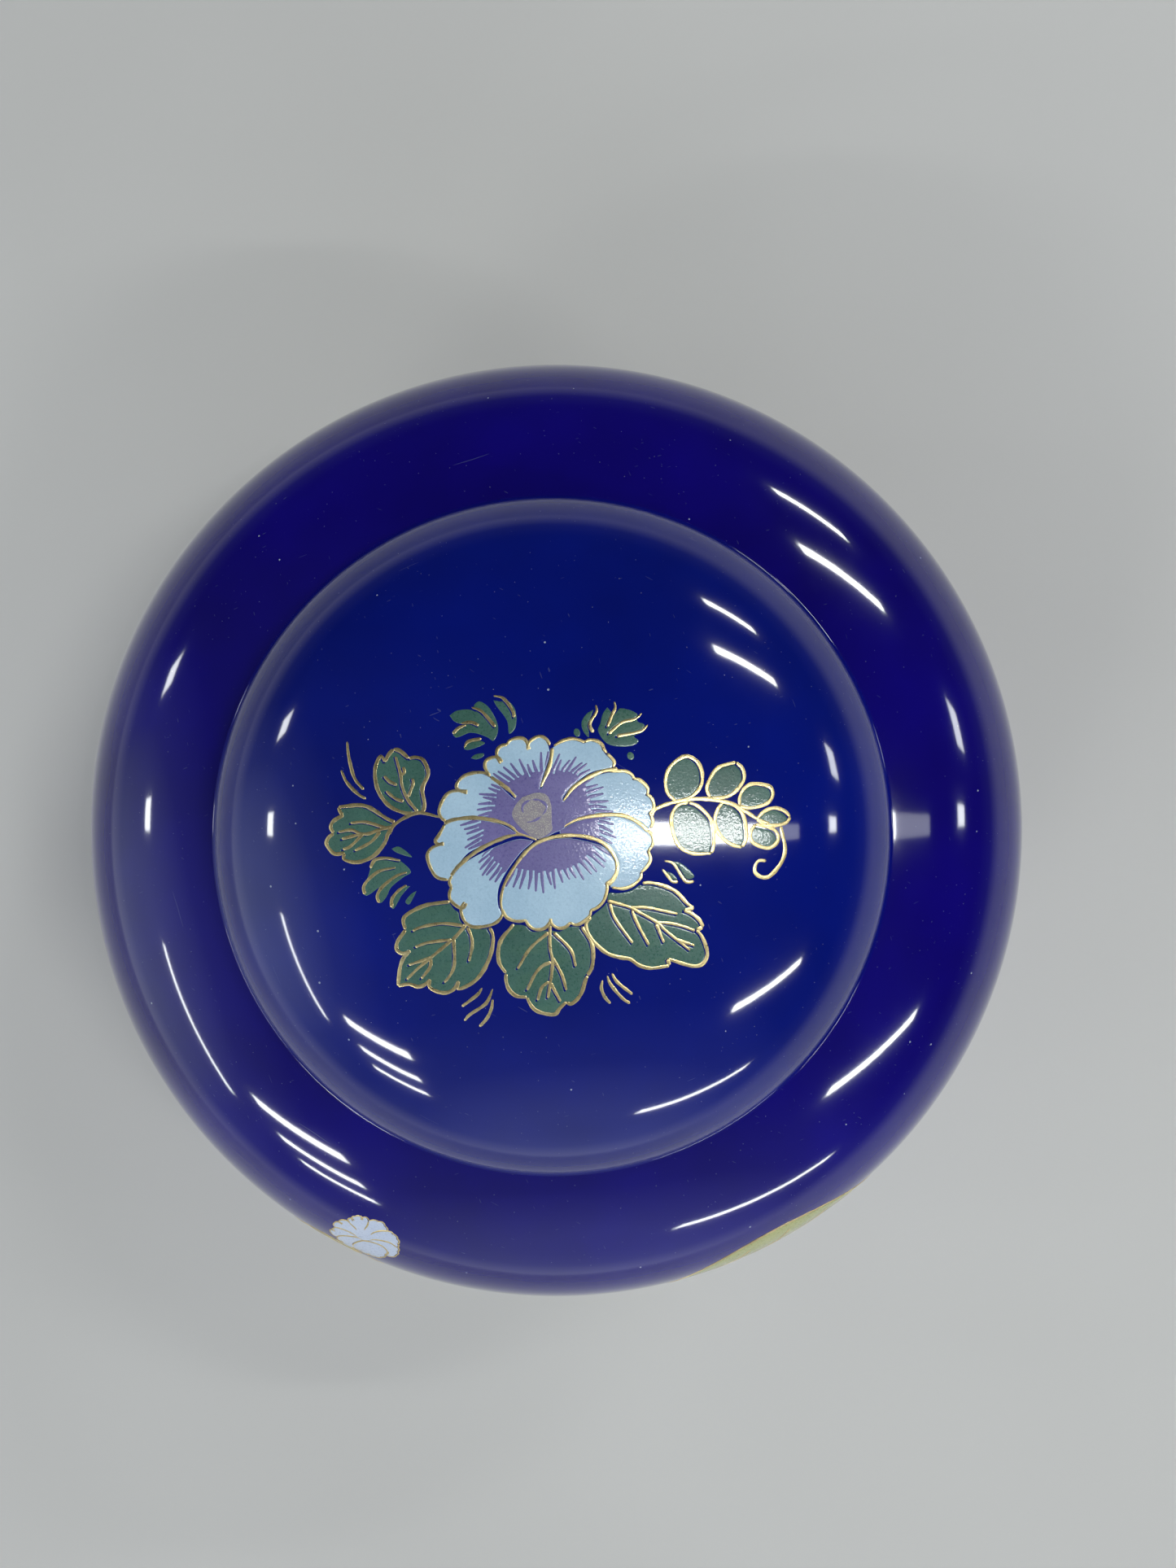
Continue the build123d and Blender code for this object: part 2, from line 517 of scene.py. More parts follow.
bowl_body = chain(
    [(0, FOOT_RECESS)],
    straight((1, FOOT_RECESS), (recess_edge, FOOT_RECESS), 14),
    arc((recess_edge, FOOT_RECESS - RECESS_ROUND), RECESS_ROUND, 90, 0),
    bedded(bowl_foot),
    bedded(bowl_outside),
    straight((coat_end, SEAT_HEIGHT), (MOUTH_RADIUS + EDGE_ROUND, SEAT_HEIGHT), 6),
    arc((MOUTH_RADIUS + EDGE_ROUND, SEAT_HEIGHT - EDGE_ROUND), EDGE_ROUND, 90, 180),
    straight((MOUTH_RADIUS, SEAT_HEIGHT - EDGE_ROUND), (MOUTH_RADIUS, neck_base), 8),
    shoulder(BOWL_RADIUS - WALL, BELLY_HEIGHT, MOUTH_RADIUS, neck_base)[::-1],
    belly(BOWL_RADIUS - WALL, BELLY_HEIGHT, FOOT_RADIUS - WALL, FLOOR_HEIGHT),
    straight((FOOT_RADIUS - WALL, FLOOR_HEIGHT), (1, FLOOR_HEIGHT), 20),
    [(0, FLOOR_HEIGHT)],
)

rim_height = SEAT_HEIGHT + RIM_ROUND
rim_inner = LID_RADIUS - RIM_ROUND
flange_outer = MOUTH_RADIUS - FLANGE_CLEARANCE
flange_inner = flange_outer - WALL
bearing_end = rim_inner - GLAZE_UNDER_RIM
bare_top = FLANGE_BASE + BARE_INSIDE
lid_outside = chain(
    straight((bearing_end, SEAT_HEIGHT), (rim_inner, SEAT_HEIGHT), 5),
    arc((rim_inner, rim_height), RIM_ROUND, -90, 0),
    dome(LID_RADIUS, rim_height, APEX),
)
lid_foot = bare_edge(flange_inner, flange_outer, FLANGE_BASE, bare_top, 5)
lid_body = chain(
    dome(flange_inner, FLANGE_ROOT_HEIGHT, APEX - WALL)[::-1],
    straight((flange_inner, FLANGE_ROOT_HEIGHT), (flange_inner, bare_top), 8),
    bedded(lid_foot),
    straight((flange_outer, bare_top), (flange_outer, SEAT_HEIGHT - ROOT_ROUND), 8),
    arc((flange_outer + ROOT_ROUND, SEAT_HEIGHT - ROOT_ROUND), ROOT_ROUND, 180, 90, 5),
    straight((flange_outer + ROOT_ROUND, SEAT_HEIGHT), (bearing_end, SEAT_HEIGHT), 6),
    bedded(lid_outside),
)

for body, outline in (("bowl", bowl_body), ("lid", lid_body)):
    piece = lathe(body + "_body", outline, closed=False)
    face_outward(piece)
    ready(piece, WHITE, body, "white_glaze", body)
coat("bowl_foot_ring", bowl_foot, BARE, "bowl", "bare_porcelain")
coat("lid_flange_edge", lid_foot, BARE, "lid", "bare_porcelain")
bowl_coat = coat("bowl_glaze_coat", bowl_outside, BOWL_GLAZE, "bowl", "bowl_glaze")
lid_coat = coat("lid_glaze_coat", lid_outside, LID_GLAZE, "lid", "lid_glaze")
mark_thin(bowl_coat, lambda radius, height: (LID_RADIUS + 0.5 - radius) * (height > SEAT_HEIGHT - 1), 1.0)
mark_thin(lid_coat, lambda radius, height: (rim_height + 0.2 - height) / 1.1, 0.6)


# ---- drawing on the glaze

def smooth(points):
    """A centripetal Catmull-Rom curve through a few points."""
    p = np.array(points, float)
    if len(p) == 2:
        return straight(p[0], p[1], max(2, int(np.linalg.norm(p[1] - p[0]) / STEP) + 1))
    p = np.vstack([2 * p[0] - p[1], p, 2 * p[-1] - p[-2]])
    knots = np.sqrt(np.linalg.norm(np.diff(p, axis=0), axis=1))
    out = []
    for i in range(1, len(p) - 2):
        a, b, c, d = p[i - 1:i + 3]
        before, here, after = knots[i - 1:i + 2]
        leave = c - b + here * ((b - a) / before - (c - a) / (before + here))
        arrive = c - b + here * ((d - c) / after - (d - b) / (here + after))
        count = max(2, int(np.linalg.norm(c - b) / STEP))
        t = np.linspace(0, 1, count, endpoint=False)[:, None]
        ends = (2 * t ** 3 - 3 * t ** 2 + 1) * b + (3 * t ** 2 - 2 * t ** 3) * c
        out.append(ends + (t ** 3 - 2 * t ** 2 + t) * leave + (t ** 3 - t ** 2) * arrive)
    out.append(p[-2:-1])
    return np.vstack(out)


def runs_of(stretches):
    """Smooth runs with corners between them: each stretch starts where the one before it ended."""
    out = []
    last = []
    for stretch in stretches:
        out.append(smooth([*last, *stretch]))
        last = stretch[-1:]
    return out


def loop_of(runs):
    """One closed outline from runs that follow each other."""
    points = chain(*runs)
    if np.linalg.norm(points[0] - points[-1]) < 0.05:
        points = points[:-1]
    return points


def closed(points):
    """One smooth closed outline through a few points."""
    return loop_of([smooth([*points, points[0]])])


def loop_side(outline):
    """The inward normals of a closed outline."""
    return inward(np.vstack([outline[-1:], outline, outline[:1]]))[1:-1]


def turning(outline):
    """1 for an outline that runs anticlockwise, -1 for one that runs clockwise."""
    x, y = outline.T
    return np.sign(np.sum(x * np.roll(y, -1) - y * np.roll(x, -1)))


def band(points, width):
    """The outline of a stroke of that width along a path."""
    side = inward(points) * width / 2
    return np.vstack([points + side, (points - side)[::-1]])


def inside(points, outline):
    """Which points lie inside a closed outline."""
    x, y = points[:, 0][:, None], points[:, 1][:, None]
    x1, y1 = outline[:, 0][None], outline[:, 1][None]
    x2, y2 = np.roll(x1, -1, 1), np.roll(y1, -1, 1)
    across = (y1 > y) != (y2 > y)
    rise = np.where(y2 == y1, 1e-12, y2 - y1)
    return (across & (x < (x2 - x1) * (y - y1) / rise + x1)).sum(1) % 2 == 1


def inside_any(points, outlines):
    return np.any([inside(points, outline) for outline in outlines], axis=0)


def within(points, loops, masks, cuts):
    """Which points lie in one of the loops, in one of the masks if there are any, and in none of the cuts."""
    found = inside_any(points, loops)
    if masks:
        found &= inside_any(points, masks)
    if cuts:
        found &= ~inside_any(points, cuts)
    return found


def away_from(points, starts, ends):
    """How far each point is from the nearest of some straight pieces."""
    out = np.full(len(points), np.inf)
    batch = 400
    for first in range(0, len(starts), batch):
        a, b = starts[first:first + batch], ends[first:first + batch]
        d = b - a
        t = ((points[:, None] - a[None]) * d[None]).sum(2) / np.maximum((d * d).sum(1), 1e-12)[None]
        near = a[None] + np.clip(t, 0, 1)[..., None] * d[None]
        out = np.minimum(out, np.linalg.norm(points[:, None] - near, axis=2).min(1))
    return out


class Drawing:
    """Collects raised areas and strokes for one piece of decoration on one curved surface."""

    def __init__(self, name, place):
        self.name = name
        self.place = place
        self.verts = []
        self.faces = []
        self.count = 0

    def keep(self, flat, heights, faces):
        """Adds a closed shell, its points given in plan and in height above the glaze."""
        self.verts.append(self.place(flat, heights))
        self.faces += [tuple(int(i) + self.count for i in face) for face in faces]
        self.count += len(flat)

    def area(self, loops, height, masks=(), cuts=(), edge=EDGE):
        """A pad of enamel over the loops, inside the masks and out of the cuts, with rounded edges."""
        outlines = [*loops, *masks, *cuts]
        # Points inside: a grid that waves a little, so that they never lie in exact rows
        corners = np.vstack(loops)
        columns = (np.arange(low, high, GRID) for low, high in zip(corners.min(0), corners.max(0)))
        fill = np.stack(np.meshgrid(*columns), 2).reshape(-1, 2)
        fill += GRID_WAVE * GRID * np.stack([np.sin(7 * fill[:, 1]), np.sin(9 * fill[:, 0])], 1)
        fill = fill[within(fill, loops, masks, cuts)]
        starts = np.vstack(outlines)
        ends = np.vstack([np.roll(outline, -1, 0) for outline in outlines])
        fill = fill[away_from(fill, starts, ends) > edge * FILL_ROOM]
        # Points along the outlines, in rows that carry the rounded edge
        rings = []
        links = []
        first = 0
        for outline in outlines:
            rings += [outline + loop_side(outline) * edge * share for share in EDGE_ROWS]
            n = len(outline)
            links += [(first + i, first + (i + 1) % n) for i in range(n)]
            first += n
        rings = np.vstack(rings)
        rings = rings[within(rings, loops, masks, cuts)]
        rings = rings[away_from(rings, starts, ends) > edge * ROW_ROOM]
        flat = np.vstack([starts, rings, fill])
        found = delaunay_2d_cdt([Vector(p) for p in flat], links, [], 0, 1e-5)
        points, faces = np.array([tuple(v) for v in found[0]]), np.array(found[2])
        faces = faces[within(points[faces].mean(1), loops, masks, cuts)]
        used, faces = np.unique(faces, return_inverse=True)
        points, faces = points[used], faces.reshape(-1, 3)
        # A side that no neighbour runs the other way is part of the rim, and carries a wall
        pairs = {(i, j) for face in faces.tolist() for i, j in zip(face, face[1:] + face[:1])}
        rim = sorted(side for side in pairs if side[::-1] not in pairs)
        gone = away_from(points, *points[np.transpose(rim)])
        lift = height * rounded(gone / edge)
        n = len(points)
        walls = [(i, i + n, j + n, j) for i, j in rim]
        below = (faces[:, ::-1] + n).tolist()
        heights = np.concatenate([lift, np.full(n, -SUNK)])
        self.keep(np.vstack([points, points]), heights, faces.tolist() + below + walls)

    def stroke(self, points, width, height, taper, wander, seed=0):
        """A rounded line along a path, whose width changes to a share of itself at each end."""
        s = path_length(points)
        t = s / s[-1]
        w = width * np.interp(t, (0, 0.35, 0.65, 1), (taper[0], 1, 1, taper[1]))
        # Two waves along the line make it wider and narrower
        phase = seed * 1.7
        waves = np.sin(3.1 * s + phase) + 0.6 * np.sin(7.3 * s + 2 * phase)
        w = w * (1 + wander * waves / 1.6)
        room = np.minimum(s, s[-1] - s) / np.maximum(w / 2, 1e-6)
        w = w * np.maximum(rounded(room), 0.05)
        side = inward(points)
        # Across the line: steep sides, soft shoulders and a flat top
        around = np.radians([180, 166, 148, 90, 32, 14, 0])
        rings = [points + side * (w / 2 * math.cos(a))[:, None] for a in around]
        round_end = np.sqrt(np.clip(w / width, 0, 1))
        tops = [height * round_end * max(math.sin(a), 0.0) ** 0.3 for a in around]
        foot = np.full(len(points), -SUNK)
        rings = [rings[0], *rings, rings[-1]]
        tops = [foot, *tops, foot]
        n, m = len(points), len(rings)
        flat, heights = np.stack(rings, 1).reshape(-1, 2), np.stack(tops, 1).reshape(-1)
        ends = [tuple(range(m - 1, -1, -1)), tuple(range((n - 1) * m, n * m))]
        self.keep(flat, heights, between(n, m) + ends)

    def piece(self, material, body, slot):
        made = new_object(self.name, np.vstack(self.verts), self.faces)
        face_outward(made)
        ready(made, material, body, slot)


def above(profile, normals, marks, at, heights):
    """The radius and height of places above a profile, found by where they are among its marks."""
    r, z, out, up = (np.interp(at, marks, column) for column in (*profile.T, *normals.T))
    return r + out * heights, z + up * heights


dome_table = dome(LID_RADIUS, rim_height, APEX)[::-1]
dome_normal = inward(dome_table)


def on_lid(flat, heights):
    """Plan millimetres and a height above the glaze, as a place on the lid's dome."""
    r = np.maximum(np.hypot(flat[:, 0], flat[:, 1]), 1e-9)
    reach, z = above(dome_table, dome_normal, dome_table[:, 0], r, heights)
    return np.stack([flat[:, 0] * reach / r, flat[:, 1] * reach / r, z], 1)


side_length = path_length(belly_side)
side_length -= np.interp(BELLY_HEIGHT, belly_side[:, 1], side_length)
side_normal = -inward(belly_side)


def on_bowl(flat, heights):
    """Millimetres along the belly from the front and up from its widest line, as a place on the bowl."""
    angle = flat[:, 0] / BOWL_RADIUS - math.pi / 2
    reach, z = above(belly_side, side_normal, side_length, flat[:, 1], heights)
    return np.stack([reach * np.cos(angle), reach * np.sin(angle), z], 1)


# ---- the flower spray, in plan millimetres

# Each petal: the side that leaves the centre, then one stretch for each lobe of its scalloped edge, and the
# side that returns
PETALS = {
    "back_left": [
        [(-2.7, 3.9), (-4.3, 5.2), (-5, 5.6)],
        [(-5.4, 6.2), (-5.4, 6.7), (-4.9, 7), (-4.5, 7), (-4.1, 6.6)],
        [(-4.4, 7.2), (-4.4, 7.7), (-4.1, 8), (-3.6, 8.1)],
        [(-3.3, 8.5), (-2.3, 8.6), (-1.8, 7.7)],
        [(-1.7, 8.3), (-0.9, 8.8), (-0.4, 8.6), (-0.1, 8.1)],
        [(0, 7.5), (-0.6, 5.5), (-0.9, 4.3)],
    ],
    "back_right": [
        [(-0.6, 4.3), (-0.2, 5.4), (0.2, 6.1), (0.4, 8)],
        [(1.1, 8.4), (2, 8.6), (3, 8.3)],
        [(3.4, 8.5), (4, 8.4), (4.4, 8.1), (4.5, 7.8), (4.8, 7.4)],
        [(5.4, 6.7), (5.3, 6.3)],
        [(3.5, 5.9), (1.6, 4.4), (1, 3.5)],
    ],
    "right_upper": [
        [(1.2, 3.2), (2.4, 4.6), (4.2, 5.6), (5.1, 5.8)],
        [(6.5, 5.8), (7, 5.5), (7.1, 5.2)],
        [(7.6, 5.1), (8.3, 4.4), (8.2, 3.9)],
        [(8.6, 3.6), (8.8, 3.1), (8.7, 2.6), (8.4, 2.4)],
        [(8.6, 2), (8.7, 1.5), (8.5, 1.1)],
        [(7.9, 1.6), (6.3, 2.3), (3.5, 2.3), (1.1, 1.3)],
    ],
    "right_lower": [
        [(1, 0.9), (2.6, 1.7), (5.4, 2.1), (7, 1.7), (8.3, 0.8)],
        [(8.7, 0.3), (8.7, -0.3), (8.3, -0.9)],
        [(8.5, -1.6), (8.2, -2.2), (7.7, -2.7)],
        [(7.7, -3.1), (7.1, -3.7), (6.3, -4), (5.3, -3.9)],
        [(6, -1.9), (4.9, -0.2), (2.5, 0.6), (1, 0.7)],
    ],
    "front": [
        [(-0.7, -0.1), (-1.9, -1), (-3.8, -4), (-4.1, -4.9), (-4, -5.8)],
        [(-3.6, -6.5), (-2.8, -6.8), (-2, -6.7)],
        [(-1.7, -7.2), (-1.2, -7.5), (-0.5, -7.4), (0.1, -6.6)],
        [(0.3, -7.1), (0.8, -7.4), (1.3, -7.3), (1.7, -6.9)],
        [(2.3, -7.1), (3.3, -6.4), (3.4, -5.9)],
        [(3.9, -5.7), (4.5, -5.1), (4.8, -4), (4.7, -3.6)],
        [(5.2, -3.3), (5.6, -2.6), (5.6, -1.9)],
        [(5.3, -1.3), (4.7, -0.6), (3.7, -0.2), (1.4, 0.2), (-0.7, -0.1)],
    ],
    "front_left": [
        [(-1.4, 0), (-2.7, 0.1), (-7, -1.8), (-8.3, -3.1)],
        [(-8.5, -3.6), (-8.3, -4)],
        [(-8.5, -4.6), (-8.4, -5.1), (-7.5, -5.7), (-7.2, -5.3)],
        [(-7.5, -5.9), (-7.2, -6.9), (-6.6, -7.3), (-5, -7.1), (-4.4, -6.7), (-4.1, -6.2)],
        [(-4.4, -5.5), (-4.3, -3.8), (-2.6, -1.1), (-1.4, 0)],
    ],
    "left_lower": [
        [(-2.7, 0.6), (-3.7, 0.4), (-6.5, -0.7), (-7.2, -1.2), (-8.7, -3.3)],
        [(-9.7, -3), (-10.4, -1.3), (-10.1, -0.8), (-9, -0.3)],
        [(-9.7, -0.1), (-9.4, 0.4), (-8.9, 1.3)],
        [(-7.7, 1.8), (-4.2, 1.4), (-2.7, 0.6)],
    ],
    "left_upper": [
        [(-2.5, 1), (-4.2, 1.8), (-7.3, 2.1), (-8.8, 1.7)],
        [(-9.2, 2), (-9.4, 2.5), (-8.8, 3.8), (-8.3, 4.1), (-7, 4.1)],
        [(-7.9, 4.6), (-7.3, 5.4), (-5.8, 5.7), (-5.1, 5.4)],
        [(-4.6, 5), (-3.3, 3.8), (-2.7, 3.3)],
    ],
}

# The purple that the upper petals share round the centre, and the centre itself
EYE = [
    (-3, 3.3), (-2.5, 4.1), (-0.9, 4.4), (0.2, 4.5), (1.1, 3.6), (1.5, 2.5), (1.3, 1.2), (0.5, 0.8),
    (-0.7, 0.3), (-2.7, 0.9), (-3, 1.6),
]
CENTRE_EDGE = [
    (-2.3, 3.8), (-0.9, 4.2), (-0.2, 4), (0.2, 3.3), (0.3, 1.6), (0.3, 0.9), (-1, 0.2), (-2.8, 1.5),
    (-3.2, 2.3), (-2.9, 3.1),
]
CENTRE_SWIRL = [
    (-2.7, 2.9), (-2.8, 2.2), (-2.3, 1.7), (-1.4, 1.7), (-0.5, 2.3), (-0.2, 3), (-0.8, 3.5), (-1.6, 3.5),
    (-2.2, 3.1), (-2.2, 2.5), (-1.6, 2.2), (-0.9, 2.6), (-0.9, 3), (-1.5, 3.1),
]

# Where each petal's purple ends in brush strokes, clockwise round the flower, and how many strokes there are
FRINGES = {
    "back_left": ([(-4.4, 5.2), (-3.3, 5.7), (-1.5, 6.2), (-0.7, 6.6), (0.1, 6.9)], 9),
    "back_right": ([(0.2, 6.5), (0.9, 6.4), (1.7, 6.4), (2.5, 6.2), (3.2, 5.7)], 7),
    "right_upper": ([(3.3, 5.3), (3.7, 4.7), (4.6, 2.3)], 7),
    "right_lower": ([(4.7, 2.2), (5, 0.7), (4.6, 0)], 5),
    "front": ([(4.9, -0.6), (4.1, -1.7), (1.2, -3.2), (-0.8, -3.6), (-3.6, -3.2)], 17),
    "front_left": ([(-4.2, -3.3), (-5.4, -2.2), (-5.6, -1.5), (-5.5, -0.9)], 7),
    "left_lower": ([(-6.6, -0.8), (-6.5, 0.4), (-6.7, 1.1), (-6.8, 1.8)], 6),
    "left_upper": ([(-5.6, 2.1), (-5.3, 3.6), (-4.4, 4.9)], 7),
}
BRUSHED_FROM = (-0.6, 3.2)

# Gilded lines between the petals, from the outside in
DIVIDERS = [
    [(0.3, 8), (0.1, 6.6), (-0.7, 4.6)],
    [(5.9, 6.2), (4.3, 5.9), (2.1, 4.6), (1.2, 3.4)],
    [(8.5, 0.8), (7.9, 1.4), (6.3, 2.2), (2.5, 1.9), (1, 1.1)],
    [
        (5, -3.8), (5.6, -3.2), (5.8, -1.8), (4.7, -0.2), (2.2, 0.5), (-1.1, -0.2), (-3.7, -3.5),
        (-4.1, -5.2), (-3.9, -6.4),
    ],
    [(-8.4, -3), (-7.9, -2.3), (-5.6, -0.5), (-2.5, 0.6), (-1, 0.1)],
    [(-9, 1.5), (-8.3, 1.8), (-6.3, 2), (-4.3, 1.7), (-3.3, 1.3), (-2.5, 0.6)],
    [(-5, 5.5), (-3.4, 4.4), (-2.8, 3.7)],
]

# Each leaf: its gilded edge, the stretch that lies against the flower and has no line, and its veins
LEAVES = {
    "large_left": (
        [
            [(-8.5, -5.2), (-10.8, -5.6), (-12.5, -6.6), (-12.6, -7.1), (-12.4, -7.7)],
            [(-13.2, -8.9), (-13.2, -9.5), (-12.7, -9.8), (-12, -9.5)],
            [(-12.5, -10), (-12.9, -10.8), (-13.2, -12.7)],
            [(-12.2, -12.5), (-11.4, -12.7), (-10.8, -12.5), (-10.3, -12)],
            [(-10.4, -12.7), (-9.2, -13.2), (-8.3, -12.9), (-7.8, -12.1)],
            [(-7.9, -12.8), (-6.3, -12), (-5.1, -10), (-4.8, -8.1), (-5.1, -7.4)],
        ],
        [(-5.6, -7.5), (-7.1, -7.3), (-7.6, -6.7), (-7.7, -6.1), (-8.1, -5.8), (-8.5, -5.2)],
        [
            [(-7.2, -7.3), (-9.2, -7.1), (-11.2, -7.5), (-11.8, -7.8)],
            [(-7.1, -7.2), (-8.2, -8.4), (-8.9, -9), (-10.7, -10.5), (-11.4, -11.1), (-12.4, -12.1)],
            [(-8.4, -8.5), (-10.5, -8.8), (-11.6, -9.2)],
            [(-10.2, -10.1), (-12.2, -10.8)],
            [(-8.2, -8.4), (-8.2, -10.8), (-8.6, -11.7), (-9.1, -12.3)],
            [(-10.2, -10.2), (-10.3, -10.9), (-11.1, -12)],
            [(-7, -7.4), (-6.7, -8.1), (-6.6, -9), (-6.9, -10.4)],
        ],
    ),
    "large_middle": (
        [
            [(-3, -7.1), (-4.2, -8.7), (-4.3, -10.4), (-3.7, -11.4)],
            [(-3.7, -12.1), (-3.4, -12.9), (-2.8, -13.4), (-1.9, -13.5)],
            [(-1.7, -14), (-1.1, -14.7), (0.5, -15), (0.9, -14.5), (1.5, -13.9)],
            [(1.8, -14.1), (2.3, -13.8), (2.8, -13.1), (3.1, -12.1), (3.3, -11.6)],
            [(3.7, -10.8), (3.7, -8.9), (2.8, -7.3)],
        ],
        [(1.7, -7.3), (1, -7.7), (0.1, -7.6), (-1.4, -7.7), (-2, -7.2), (-3, -7.1)],
        [
            [(0.1, -7.2), (0.1, -9.1), (0.3, -10.4), (-0.1, -13.6)],
            [(0, -7.8), (-1.6, -9.2), (-2.7, -11)],
            [(0.4, -7.8), (1.9, -9.4), (2.3, -10.8)],
            [(0.2, -10.4), (-0.5, -10.7), (-1.1, -11.3), (-1.9, -12.9)],
            [(0.3, -10), (1.1, -11.5), (1.5, -12.9)],
            [(0, -12.1), (-0.6, -12.6), (-1, -13.8)],
            [(0.1, -12.2), (1, -13.9)],
        ],
    ),
    "large_right": (
        [
            [(8, -3.6), (8.9, -3.6), (10.8, -4.3), (12, -5.5), (12.5, -5.8)],
            [(11.6, -6)],
            [(12.3, -6.3), (13, -6.9), (13.3, -7.5)],
            [(12.7, -7.7)],
            [(13.2, -8.3), (13.7, -9.9), (13.3, -10.7), (12.6, -10.9), (10.2, -10.2)],
            [(10.4, -10.8)],
            [
                (8.7, -11), (7.7, -10.7), (7, -10.2), (6, -10), (4.9, -9.6), (3.4, -8), (3.2, -7.1),
                (3.6, -6.5),
            ],
        ],
        [(5, -5.2), (5.2, -4.4), (6, -4.4), (7, -4.2), (8, -3.6)],
        [
            [(5, -5.1), (7, -5.7), (7.7, -6.1), (9.4, -7.1), (10, -7.7), (12.2, -9.5)],
            [(7, -5.7), (8.2, -5.7), (11.1, -6.3)],
            [(9.2, -7), (10.4, -7.1), (11.6, -7.4), (12.6, -7.8)],
            [(10.9, -8.5), (12.6, -9.1)],
            [(5.2, -5.3), (5.6, -6.5), (7.2, -8.8)],
            [(7.1, -5.9), (7.5, -6.9), (8.6, -9)],
            [(9.2, -7.1), (9.9, -8.8)],
        ],
    ),
    "small_upper": (
        [
            [
                (-11.7, 2.4), (-12.4, 2.4), (-13.8, 3), (-14.8, 4.3), (-15.1, 6.2), (-14.6, 7.3),
                (-14.2, 6.8),
            ],
            [(-14, 7.3), (-13.5, 7.9)],
            [(-13, 7.8), (-12.1, 7.1)],
            [
                (-11.5, 7.2), (-10.9, 7), (-10.4, 5.8), (-10.9, 4.5), (-10.7, 3.1), (-10.9, 2.5),
                (-11.7, 2.4),
            ],
        ],
        None,
        [
            [(-11.3, 2.5), (-12.2, 3.6), (-12.7, 4.8), (-12.8, 5.6), (-13.3, 7.3)],
            [(-12.1, 3.8), (-11.7, 5), (-11.8, 5.4)],
            [(-12.8, 5.6), (-12.5, 5.9), (-12.6, 6.4)],
            [(-13.1, 4.8), (-13.8, 5.1), (-14.3, 5.6)],
            [(-12.5, 3.4), (-13.2, 3.6), (-14.1, 4.3)],
        ],
    ),
    "small_lower": (
        [
            [(-13.3, 1.6), (-14, 1.9), (-16, 3), (-18.4, 2.9)],
            [(-18.2, 2.4), (-17.9, 2.2)],
            [(-18.9, 1.6), (-19.1, 1.1), (-18.8, 0.6)],
            [(-19.3, 0.2), (-19.5, -0.3), (-19.2, -0.8), (-18.7, -1.2), (-17.8, -1.1)],
            [(-17.9, -1.6), (-16.8, -1.9), (-15.3, -1.4), (-14.2, -0.2), (-13.9, 0.6), (-13.3, 1.6)],
        ],
        None,
        [
            [(-13.6, 1.2), (-14.8, 0.9), (-15.6, 0.6), (-16.4, 0.6), (-17.2, 0.9), (-18.4, 0.7)],
            [(-14.1, 1.1), (-16, 1.6), (-17.3, 1.5)],
            [(-16.2, 0.6), (-18.1, 0.1)],
            [(-16.1, 0.6), (-17.4, -0.6), (-18, -0.8)],
            [(-14.6, 0.8), (-15.4, -0.1), (-16.9, -0.9)],
        ],
    ),
    "long": (
        [
            [(-12, -0.6), (-9, 2.2), (-4, 4.6), (1, 5.3), (6, 4.2), (10, 1.9), (12.6, -0.6)],
            [(9, -1.6), (4, -3.4), (-2, -4), (-7, -3.2), (-12, -0.6)],
        ],
        None,
        [
            [(-12.2, -0.7), (-6, 0.2), (0, 0.6), (6, 0.4), (11, -0.3)],
            [(-7.5, 0), (-4.5, 1.6), (-2.5, 3.4)],
            [(-2.5, 0.5), (0.2, 1.9), (2, 3.7)],
            [(2.2, 0.6), (4.6, 1.5), (6.2, 2.8)],
            [(6, 0.4), (7.8, 0.8), (9.2, 1.4)],
            [(-6.5, 0.1), (-4, -1.2), (-2.4, -2.8)],
            [(-1.2, 0.6), (1.2, -0.9), (2.8, -2.5)],
            [(3.6, 0.5), (5.4, -0.5), (6.8, -1.6)],
        ],
    ),
}

# Leaflets of the sprig on the right: each starts and ends at its foot on the stem
LEAFLETS = [
    [
        [
            (10.9, 3.4), (10.2, 4.1), (10, 5.1), (10.3, 6.2), (11.1, 7), (11.9, 7.3), (12.8, 6.8),
            (13.2, 5.8), (13.1, 4.8), (12.5, 4), (11.8, 3.6), (10.9, 3.4),
        ],
    ],
    [
        [(13.9, 3.7), (13.6, 4.5), (13.9, 5.4), (14.6, 6.3), (16.2, 6.8)],
        [(16.8, 6.2), (16.9, 5.3), (15.8, 4), (14.8, 3.7), (13.9, 3.7)],
    ],
    [
        [
            (16.5, 3), (16.5, 3.7), (16.9, 4.5), (17.6, 4.9), (19.3, 4.6), (19.5, 4), (19.1, 3.3),
            (17.4, 2.8), (16.5, 3),
        ],
    ],
    [[(18, 1.8), (18.7, 2.5), (19.7, 2.8), (20.6, 2.5), (21.1, 2)], [(20.7, 1.5), (18.9, 1.3), (18, 1.8)]],
    [
        [
            (12, 3.3), (11.1, 3.1), (10.6, 2.4), (10.5, 1.5), (11, -0.2), (11.6, -0.8), (12.4, -1.1),
            (14, -1.1),
        ],
        [(14.2, -0.3), (14, 1.7), (12.8, 3), (12, 3.3)],
    ],
    [
        [(15.1, 3.4), (14.6, 2.8), (14.3, 1.9), (14.5, 0.9), (15.1, 0.1), (15.9, -0.4), (16.7, -0.6)],
        [(17.1, 0.2), (16.8, 2.2), (16.1, 3), (15.1, 3.4)],
    ],
    [
        [
            (17.9, 1.4), (17.5, 0.7), (17.6, -0.1), (19, -0.7), (19.7, -0.4), (20, 0.2), (19.6, 0.9),
            (17.9, 1.4),
        ],
    ],
]
